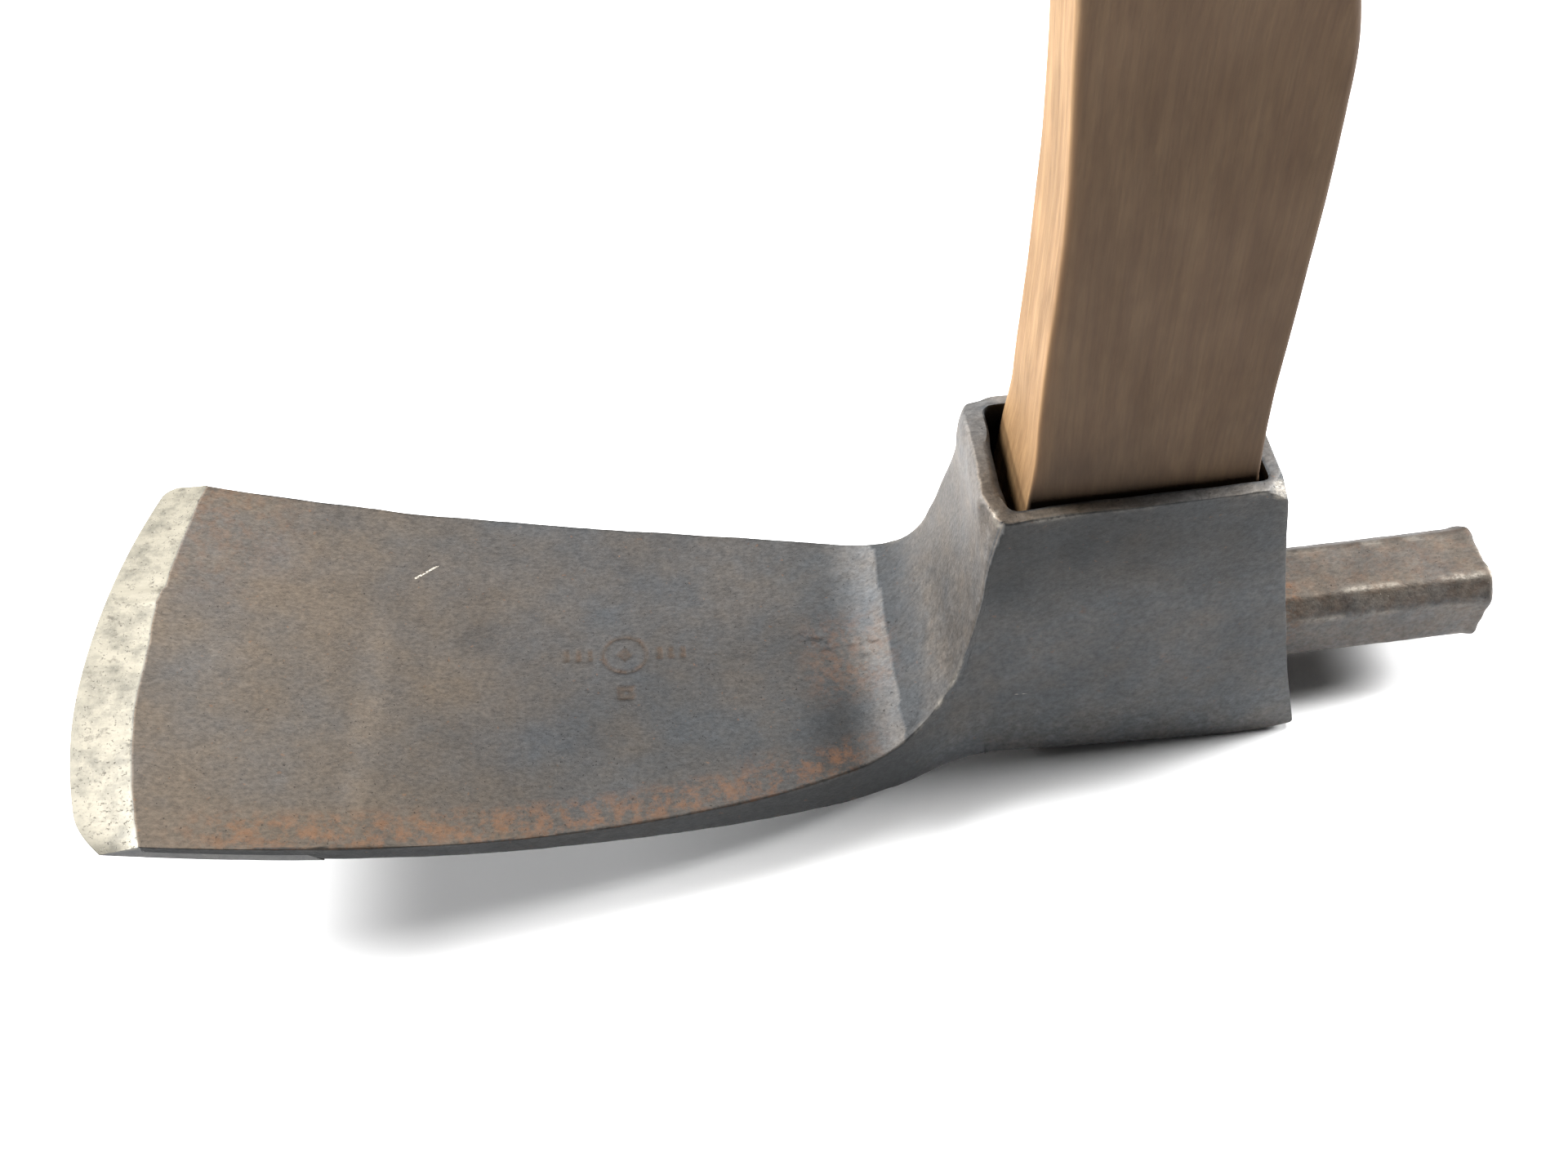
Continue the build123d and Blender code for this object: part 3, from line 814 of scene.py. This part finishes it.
def makeHandle():
    tall = spread((rimZ, rimZ + 130, 1.3), (rimZ + 130, handle["knobZ"], 3.0))
    fine = smoothLine(handleSections, 4000)
    shaft = liftRing(sectionRing(*(np.interp(tall, fine[:, 0], fine[:, k]) for k in range(1, 5))), tall)
    low, front, back, thick = handle["foot"]
    share = spread((0, 0.03, 0.01), (0.03, 1, 0.04))[::-1]
    top = handleSections[0, 1:]
    bottom = np.array([(front + back) / 2, back - front, thick, top[3]])
    foot = liftRing(sectionRing(*(top + (bottom - top) * share[:, None]).T), rimZ + (low - rimZ) * share)
    foot = foot[:-1]

    def close(ring, rise, steps):
        # rings drawn in to the middle: a shallow dome
        centre = ring.mean(0)
        inward = np.linspace(1, 0, steps + 1)[1:, None, None]
        dome = centre + (ring - centre) * inward
        dome[..., 2] = ring[0, 2] + rise * np.sqrt(np.maximum(1 - inward[..., 0] ** 2.2, 0))
        return dome

    knob = close(shaft[-1], handleHigh[2] - handle["knobZ"], 16)
    base = close(foot[0], -0.25, 10)[::-1]
    whole = np.concatenate([base, foot, shaft, knob])
    whole = np.concatenate([whole, whole[:, :1]], 1)
    mesh = weldPatches("handle", [(whole, None)])
    points = meshPoints(mesh)
    normals = meshNormals(mesh)
    z = points[:, 2]
    free = ease(z, rimZ - 4, rimZ + 12)
    stretched = points * [1, 1, 0.28]
    lift = 0.22 * lumpNoise(stretched, 13, 71) + 0.07 * lumpNoise(stretched, 3.4, 72)
    lift += 0.03 * lumpNoise(points, 2.2, 73)
    points = points + normals * (lift * free * 0.6 - 0.05)[:, None]
    movePoints(mesh, points)
    x, y = points[:, 0], points[:, 1]
    middle, width, thick = (np.interp(z, fine[:, 0], fine[:, k]) for k in range(1, 4))
    edge = np.maximum(np.abs(x - middle) - width / 2, -3) + np.maximum(np.abs(y) - thick / 2, -3)
    onFront = ease(z, rimZ, rimZ + 8) * (x < middle)
    paint(mesh, "rubbed", np.exp(-((edge + 0.2) / 0.7) ** 2) * onFront)
    # grime and painted shade at the foot, where the handle goes into the eye, heavier on the faces turned
    # to the near side
    footGrimeAndShade = fade(z, rimZ - 2, rimZ + 26) * (0.45 + 0.5 * lumpNoise(points, 9, 75))
    paint(mesh, "grimeAndShade", footGrimeAndShade * (0.35 + 0.65 * ease(-normals[:, 1], 0.2, 0.8)))
    # painted shade: the faces turned to the near side, and those turned away from the blade, darker brown
    shadedSide = 0.9 * ease(-normals[:, 1], 0.05, 0.85) + 0.25 * ease(normals[:, 0], 0.3, 0.9)
    paint(mesh, "shadedSide", shadedSide)
    paint(mesh, "handled", ease(z, 420, 640))
    return mesh


def toLinear(hexColour):
    # sRGB hex to the linear values that Blender works in
    channels = np.array([int(hexColour[k:k + 2], 16) for k in (1, 3, 5)]) / 255
    linear = np.where(channels <= 0.04045, channels / 12.92, ((channels + 0.055) / 1.055) ** 2.4)
    return (*linear.tolist(), 1.0)


def addNode(tree, kind, inputs=(), output=0, **settings):
    # one node with its settings: each input, in order or by name, is joined to a socket or set to a value
    node = tree.nodes.new("ShaderNode" + kind)
    for key, value in settings.items():
        setattr(node, key, value)
    for key, value in inputs.items() if isinstance(inputs, dict) else enumerate(inputs):
        if isinstance(value, bpy.types.NodeSocket):
            tree.links.new(value, node.inputs[key])
        else:
            node.inputs[key].default_value = toLinear(value) if isinstance(value, str) else value
    return node.outputs[output] if len(node.outputs) else node


def startMaterial(name, look):
    # a material with the noises of its look, the ranges taken from them, and what is painted on the mesh
    material = bpy.data.materials.new(name)
    material.use_nodes = True
    tree = material.node_tree
    tree.nodes.clear()
    place = addNode(tree, "TexCoord", output="Object")
    place = addNode(tree, "VectorMath", {0: place, "Scale": 1 / mm}, operation="SCALE")  # millimetres
    made = {"place": place}
    for key, (size, detail, rough, stretch, shift) in look["noises"].items():
        spot = addNode(tree, "Mapping", {"Vector": place, "Location": (shift, 1.7 * shift, -shift),
                                         "Scale": stretch})
        made[key] = addNode(tree, "TexNoise", {"Vector": spot, "Scale": 1 / size, "Detail": detail,
                                               "Roughness": rough})
    for key, (source, *limits) in look["ranges"].items():
        made[key] = addNode(tree, "MapRange", (made[source], *limits))
    for key in look["paints"]:
        made[key] = addNode(tree, "Attribute", output="Fac", attribute_name=key)
    return material, tree, made


def layOver(tree, base, blend, *layers):
    # colours laid over the base one after the other, each by its amount times its strength
    for amount, strength, colour in layers:
        share = strength
        if amount is not None:
            share = addNode(tree, "Math", (amount, strength), operation="MULTIPLY")
        base = addNode(tree, "Mix", {0: share, 6: base, 7: colour}, 2, data_type="RGBA", blend_type=blend)
    return base


def weighted(tree, total, *terms):
    # the total plus each value times its weight
    for value, weight in terms:
        total = addNode(tree, "Math", (value, weight, total), operation="MULTIPLY_ADD")
    return total


def finishMaterial(tree, inputs, height=None):
    if height is not None:
        # height is in millimetres, so the bump's distance is one of them in metres
        inputs["Normal"] = addNode(tree, "Bump", {"Strength": 1.0, "Distance": mm, "Height": height})
    shader = addNode(tree, "BsdfPrincipled", inputs)
    addNode(tree, "OutputMaterial", {"Surface": shader})


even = (1, 1, 1)
# each noise is the size of its features in mm, its detail, its roughness, its stretch and its shift;
# each range is a noise, from where to where it is read, and what that becomes
ironLook = dict(
    metal=0.7, roughness=0.46,
    cold="#414345", warm="#52493f", rust="#6b4526", bare="#8f897f", pit="#171513", stamped="#33281c",
    noises=dict(cloud=(9, 4, 0.62, even, 0), mottle=(3.0, 4, 0.66, even, 4),
                speck=(0.8, 3, 0.7, (0.7, 1, 0.7), 9),
                filed=(0.8, 3, 0.6, (0.45, 1, 0.45), 15),  # filing runs along the blade, up the wall
                bloom=(2.6, 5, 0.72, even, 21), freckle=(1.3, 2, 0.5, even, 33),
                pit=(0.7, 3, 0.6, even, 50), scuff=(0.9, 4, 0.7, even, 62),
                gaps=(0.7, 2, 0.5, even, 80)),
    ranges=dict(mottleShade=("mottle", 0.3, 0.7, 0.66, 1.0), speckShade=("speck", 0.32, 0.68, 0.58, 1.0),
                filedShade=("filed", 0.32, 0.68, 0.72, 1.0), bloomShare=("bloom", 0.44, 0.62, 0.0, 1.0),
                freckleShare=("freckle", 0.70, 0.76, 0.0, 0.5), pitShare=("pit", 0.27, 0.33, 1.0, 0.0),
                scuffShare=("scuff", 0.38, 0.56, 0.0, 1.0), unbroken=("gaps", 0.4, 0.5, 0.0, 1.0)),
    paints=("warm", "toneAndLight", "rust", "wear", "stamped"),
    # each scratch is its start, its end and half its width, in mm
    scratches=(((-85.2, 23.6, 34.3), (-80.8, 27.3, 33.2), 0.3),
               ((-78.0, -7.5, 32.6), (-79.5, -1.5, 32.9), 0.1),
               ((56, -17.6, 57.5), (59.5, -17.4, 58.6), 0.12), ((63, -18.6, 33), (70, -18.4, 36), 0.1),
               ((35.0, -18.6, 25.5), (44, -18.9, 24), 0.12)),
)


def scratchLine(tree, made, start, end, width):
    # 1 near the straight line between two points, 0 this many millimetres away, broken up along its length
    start, end = np.array(start, float), np.array(end, float)
    length = float(np.linalg.norm(end - start))
    direction = tuple((end - start) / length)
    toward = addNode(tree, "VectorMath", (made["place"], tuple(start)), operation="SUBTRACT")
    reach = addNode(tree, "VectorMath", (toward, direction), "Value", operation="DOT_PRODUCT")
    held = addNode(tree, "Clamp", (reach, 0.0, length))
    foot = addNode(tree, "VectorMath", {0: direction, "Scale": held}, operation="SCALE")
    away = addNode(tree, "VectorMath", (toward, foot), "Value", operation="DISTANCE")
    near = addNode(tree, "MapRange", (away, 0.6 * width, width, 1.0, 0.0))
    return addNode(tree, "Math", (near, made["unbroken"]), operation="MULTIPLY")


def forgedIron():
    # wrought iron with an old oxide skin: dark, nearly matt, brown where it has rusted and been oiled,
    # rubbed to pale bare metal on its arrises. Its colour goes from cold to warm grey by the painted warmth
    # and a cloud, times a power of the painted tone, which carries painted light and shade as well as the
    # skin's own tone, and three noises, with rust, pits, bare metal and the punch's dirt laid over it
    material, tree, made = startMaterial("forged iron, oxide patina", ironLook)
    cloud = weighted(tree, -0.55, (made["cloud"], 1.1))
    warm = addNode(tree, "Math", (made["warm"], cloud), operation="ADD", use_clamp=True)
    toneAndLight = addNode(tree, "Math", (made["toneAndLight"], 2.0), operation="MULTIPLY")
    toneAndLight = addNode(tree, "Math", (toneAndLight, 1.7), operation="POWER")
    base = layOver(tree, ironLook["cold"], "MIX", (warm, 1.0, ironLook["warm"]))
    base = layOver(tree, base, "MULTIPLY", (None, 1.0, toneAndLight), (None, 1.0, made["mottleShade"]),
                   (None, 1.0, made["speckShade"]), (None, 0.4, made["filedShade"]))
    rust = addNode(tree, "Math", (made["rust"], made["bloomShare"]), operation="MULTIPLY")
    rust = addNode(tree, "Math", (rust, made["freckleShare"]), operation="MAXIMUM")
    scuff = weighted(tree, 0.3, (made["scuffShare"], 0.8))
    bare = addNode(tree, "Math", (made["wear"], scuff), operation="MULTIPLY", use_clamp=True)
    for start, end, width in ironLook["scratches"]:
        scratch = weighted(tree, 0.0, (scratchLine(tree, made, start, end, width), 0.9))
        bare = addNode(tree, "Math", (bare, scratch), operation="MAXIMUM")
    base = layOver(tree, base, "MIX", (rust, 0.45, ironLook["rust"]),
                   (made["pitShare"], 0.6, ironLook["pit"]), (bare, 1.0, ironLook["bare"]),
                   (made["stamped"], 0.45, ironLook["stamped"]))
    height = weighted(tree, 0.0, (made["mottle"], 0.10), (made["speck"], 0.09), (made["pitShare"], -0.05),
                      (made["filed"], 0.05))
    rough = weighted(tree, ironLook["roughness"], (made["mottle"], 0.3), (bare, -0.2))
    finishMaterial(tree, {"Base Color": base, "Roughness": rough, "Metallic": ironLook["metal"]}, height)
    return material


steelLook = dict(
    metal=0.35, roughness=0.40,
    dark="#69665c", pale="#8a8577", keen="#7e7a6e", pits="#2c261f", skinDark="#303133", skinPale="#474644",
    noises=dict(scratch=(0.5, 3, 0.6, (0.15, 1, 0.15), 0), stain=(5, 5, 0.7, even, 5),
                pit=(0.62, 3, 0.65, even, 12), blotch=(2.6, 4, 0.6, even, 25),
                mottle=(3.0, 4, 0.66, even, 4)),
    ranges=dict(stainShare=("stain", 0.34, 0.56, 0.0, 1.0), scratchShade=("scratch", 0.3, 0.7, 0.75, 1.0),
                pitShare=("pit", 0.33, 0.41, 1.0, 0.0), blotchShare=("blotch", 0.30, 0.40, 1.0, 0.0),
                mottleShare=("mottle", 0.3, 0.7, 0.0, 1.0)),
    paints=("ground", "keen"),
)


def groundSteel():
    # tool steel ground bright: pale and fairly smooth, fine scratches across the edge, small dark pits.
    # Stained grey times scratches, with pits and blotches over it, and mottled dark skin off the bevel
    material, tree, made = startMaterial("ground tool steel", steelLook)
    bright = layOver(tree, steelLook["dark"], "MIX", (made["stainShare"], 1.0, steelLook["pale"]))
    bright = layOver(tree, bright, "MULTIPLY", (None, 0.5, made["scratchShade"]))
    pits, blotches = (weighted(tree, 0.0, term) for term in ((made["pitShare"], 0.65),
                                                             (made["blotchShare"], 0.5)))
    dull = addNode(tree, "Math", (pits, blotches), operation="MAXIMUM")
    bright = layOver(tree, bright, "MIX", (dull, 1.0, steelLook["pits"]))
    skin = layOver(tree, steelLook["skinDark"], "MIX", (made["mottleShare"], 1.0, steelLook["skinPale"]))
    colour = layOver(tree, skin, "MIX", (made["ground"], 1.0, bright),
                     (made["keen"], 0.45, steelLook["keen"]))
    rough = weighted(tree, steelLook["roughness"], (made["stain"], 0.2), (made["ground"], -0.1))
    height = weighted(tree, 0.0, (made["scratch"], 0.012), (made["pitShare"], -0.04))
    finishMaterial(tree, {"Base Color": colour, "Roughness": rough, "Metallic": steelLook["metal"]}, height)
    return material


ashLook = dict(
    dark="#8e6d4b", pale="#a6855e", shadedSide="#322822", dirt="#3a2b22", grimeAndShade="#1f1b19", rubbed="#8e6c4a",
    handled="#54392a",
    noises=dict(broad=(22, 3, 0.5, (1, 1, 0.25), 0),
                growth=(1.8, 4, 0.6, (1, 1, 0.03), 0),  # growth rings seen edge on, about 2 mm apart
                pores=(0.5, 3, 0.6, (1, 1, 0.06), 0),  # half a millimetre wide, as coarse as shows
                dirt=(6, 4, 0.6, (1, 1, 0.4), 14)),
    ranges=dict(growthShare=("growth", 0.3, 0.7, 0.0, 1.0), poreShade=("pores", 0.34, 0.62, 0.66, 1.0),
                broadShade=("broad", 0.3, 0.7, 0.75, 1.0), dirtShare=("dirt", 0.4, 0.7, 0.0, 1.0)),
    paints=("shadedSide", "grimeAndShade", "rubbed", "handled"),
)


def oldAsh():
    # ash, rubbed with oil and years of hands: straight fine grain up the handle, dark grey-brown where it
    # was handled, paler and oranger where the arrises have rubbed. Growth rings times pores and broad
    # bands, with painted shade on the faces turned to the near side and away from the blade, dirt, grime
    # mixed with painted shade at the foot, rubbed arrises and the grip laid over them
    material, tree, made = startMaterial("old oiled ash", ashLook)
    wood = layOver(tree, ashLook["dark"], "MIX", (made["growthShare"], 1.0, ashLook["pale"]))
    wood = layOver(tree, wood, "MULTIPLY", (None, 0.5, made["poreShade"]), (None, 0.6, made["broadShade"]))
    wood = layOver(tree, wood, "MIX", (made["shadedSide"], 0.88, ashLook["shadedSide"]),
                   (made["dirtShare"], 0.3, ashLook["dirt"]), (made["grimeAndShade"], 0.6, ashLook["grimeAndShade"]),
                   (made["rubbed"], 0.3, ashLook["rubbed"]), (made["handled"], 0.35, ashLook["handled"]))
    rough = weighted(tree, 0.6, (made["dirt"], 0.2))
    height = weighted(tree, 0.0, (made["pores"], 0.05), (made["growth"], 0.05))
    finishMaterial(tree, {"Base Color": wood, "Roughness": rough, "Metallic": 0.0,
                          "Specular IOR Level": 0.15}, height)
    return material


iron = forgedIron()
finishPiece("adzeHead", makeBlade(), iron, "head", ["blade_and_eye"])
finishPiece("edgeSteel", makeBit(), groundSteel(), "head", ["steel_bit"])
finishPiece("squarePeg", makePeg(), iron, "head", ["peg_poll"])
finishPiece("curvedHandle", makeHandle(), oldAsh(), "shaft", ["handle"])


studio = dict(
    floorSize=6.0, worldLow=0.02, worldHigh=0.08,
    # strength, angle and aim of each light; any one of the first three alone whitens the paper, so that
    # it only darkens where all of them are hidden
    lights=dict(sky=(4.5, 22, (0.30, 0.33, 1.0)), right=(7.8, 20, (2.0, 0.42, 1.0)),
                left=(4.6, 24, (-0.70, 0.45, 1.0)), window=(3.6, 20, (-3.03, 1.12, 1.0))),
)
paperLook = dict(
    dark="#eeeeee", pale="#f2f2f2",
    noises=dict(cloud=(400, 2, 0.55, even, 0), gloss=(300, 2, 0.55, even, 0)),
    ranges=dict(cloudShare=("cloud", 0.3, 0.7, 0.0, 1.0)), paints=(),
)
view = dict(place=(-6.75, -180.1, 280.3), azimuth=-0.494, elevation=52.499, roll=-6.477, lens=33.281)


def makeStudio():
    half = studio["floorSize"] / 2
    mesh = bpy.data.meshes.new("floor")
    corners = [(-half, -half, 0), (half, -half, 0), (half, half, 0), (-half, half, 0)]
    mesh.from_pydata(corners, [], [(0, 1, 2, 3)])
    floor = bpy.data.objects.new("floor", mesh)
    bpy.context.scene.collection.objects.link(floor)
    material, tree, made = startMaterial("white paper", paperLook)
    paper = layOver(tree, paperLook["dark"], "MIX", (made["cloudShare"], 1.0, paperLook["pale"]))
    finishMaterial(tree, {"Base Color": paper, "Roughness": made["gloss"]})
    mesh.materials.append(material)

    # the room is a little brighter behind the tool, up and to the left
    world = bpy.data.worlds.new("pale room")
    bpy.context.scene.world = world
    world.use_nodes = True
    tree = world.node_tree
    tree.nodes.clear()
    way = addNode(tree, "TexCoord", output="Generated")
    side = addNode(tree, "VectorMath", (way, (-0.45, 0.55, 0.70)), "Value", operation="DOT_PRODUCT")
    level = addNode(tree, "MapRange", (side, -0.7, 0.9, studio["worldLow"], studio["worldHigh"]))
    room = addNode(tree, "Background", {"Color": (0.98, 0.99, 1.0, 1), "Strength": level})
    addNode(tree, "OutputWorld", {"Surface": room})

    for name, (strength, angle, aim) in studio["lights"].items():
        light = bpy.data.lights.new(name, "SUN")
        light.energy = strength
        light.angle = math.radians(angle)
        lamp = bpy.data.objects.new(name, light)
        lamp.rotation_euler = Vector(aim).to_track_quat("Z", "Y").to_euler()
        bpy.context.scene.collection.objects.link(lamp)
    bpy.context.scene.view_settings.view_transform = "Standard"


def makeCamera():
    camera = bpy.data.cameras.new("camera")
    camera.lens = view["lens"]
    camera.sensor_width = 36
    camera.clip_start = 0.01
    holder = bpy.data.objects.new("camera", camera)
    azimuth, elevation, roll = (math.radians(view[k]) for k in ("azimuth", "elevation", "roll"))
    forward = Vector((-math.sin(azimuth) * math.cos(elevation), math.cos(azimuth) * math.cos(elevation),
                      -math.sin(elevation)))
    right = forward.cross(Vector((0, 0, 1))).normalized()
    up = right.cross(forward)
    right, up = (math.cos(roll) * right + math.sin(roll) * up,
                 math.cos(roll) * up - math.sin(roll) * right)
    turned = Matrix((right, up, -forward)).transposed().to_4x4()
    holder.matrix_world = Matrix.Translation(Vector(view["place"]) * mm) @ turned
    bpy.context.scene.collection.objects.link(holder)
    bpy.context.scene.camera = holder


makeStudio()
makeCamera()
print("studio and camera ready")
